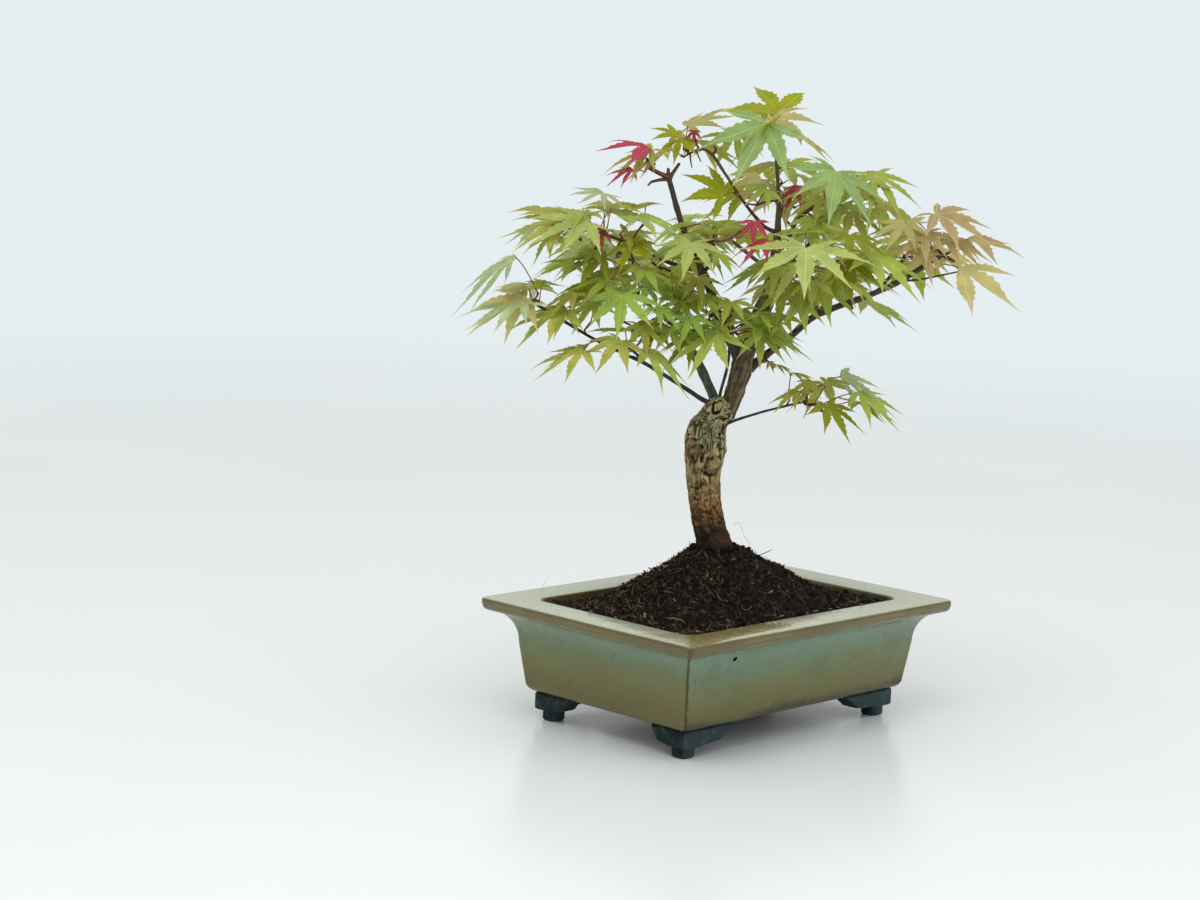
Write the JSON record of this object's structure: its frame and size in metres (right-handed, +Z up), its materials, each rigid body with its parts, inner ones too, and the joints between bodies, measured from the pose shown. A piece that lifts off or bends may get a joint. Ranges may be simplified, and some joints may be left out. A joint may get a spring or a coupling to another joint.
{
  "type": "potted maple bonsai",
  "caption": "Bonsai maple with a tapering trunk, fine limbs and lobed foliage, in a shallow rectangular glazed pot with a flat rim and corner feet.",
  "frame": {"origin": "on the standing surface, under the middle of the plant's whole bounding box", "axes": "+Z up; X along the pot's long side, with the pot's right-hand end at +X; -Y towards the pot's front long side"},
  "size_m": [0.2792, 0.2408, 0.326],
  "materials": {
    "celadon_glaze": "glossy celadon glaze, pale grey-cream on the rim, blue-green below it and olive brown at the foot, brown where it breaks over edges",
    "dark_clay": "dark blue-grey glaze, thin and satin",
    "potting_soil": "dark fibrous compost with root hairs and small chips",
    "trunk_bark": "buff to tan bark, flaking in vertical ridges, dark and damp near the soil",
    "limb_bark": "grey-brown to dark shoot bark with pale streaks",
    "maple_leaves": "thin lobed leaves, green to olive with yellow, peach and crimson ones"
  },
  "bodies": {
    "root": {"pot": "celadon_glaze", "foot_front_left": "dark_clay", "foot_front_right": "dark_clay", "foot_back_left": "dark_clay", "foot_back_right": "dark_clay", "soil": "potting_soil", "trunk": "trunk_bark", "back_bough": "limb_bark", "back_left_bough": "limb_bark", "centre_shoot": "limb_bark", "front_shoot": "limb_bark", "grey_green_bough": "limb_bark", "high_back_shoot": "limb_bark", "high_left_shoot": "limb_bark", "left_back_shoot": "limb_bark", "left_side_shoot": "limb_bark", "low_left_bough": "limb_bark", "low_left_fork": "limb_bark", "low_right_bough": "limb_bark", "main_leader": "limb_bark", "right_back_shoot": "limb_bark", "right_bough": "limb_bark", "right_mid_shoot": "limb_bark", "second_leader": "limb_bark", "thin_stem": "limb_bark", "top_left_stub": "limb_bark", "upper_left_shoot": "limb_bark", "upper_right_shoot": "limb_bark", "apex_foliage": "maple_leaves", "back_left_foliage": "maple_leaves", "back_right_foliage": "maple_leaves", "centre_foliage": "maple_leaves", "far_back_foliage": "maple_leaves", "far_left_foliage": "maple_leaves", "front_right_foliage": "maple_leaves", "high_back_foliage": "maple_leaves", "left_back_foliage": "maple_leaves", "low_centre_foliage": "maple_leaves", "low_left_foliage": "maple_leaves", "low_right_foliage": "maple_leaves", "mid_left_foliage": "maple_leaves", "pink_foliage": "maple_leaves", "right_back_foliage": "maple_leaves", "right_end_foliage": "maple_leaves", "right_mid_foliage": "maple_leaves", "top_left_foliage": "maple_leaves", "upper_left_foliage": "maple_leaves", "upper_right_foliage": "maple_leaves"}
  },
  "joints": []
}
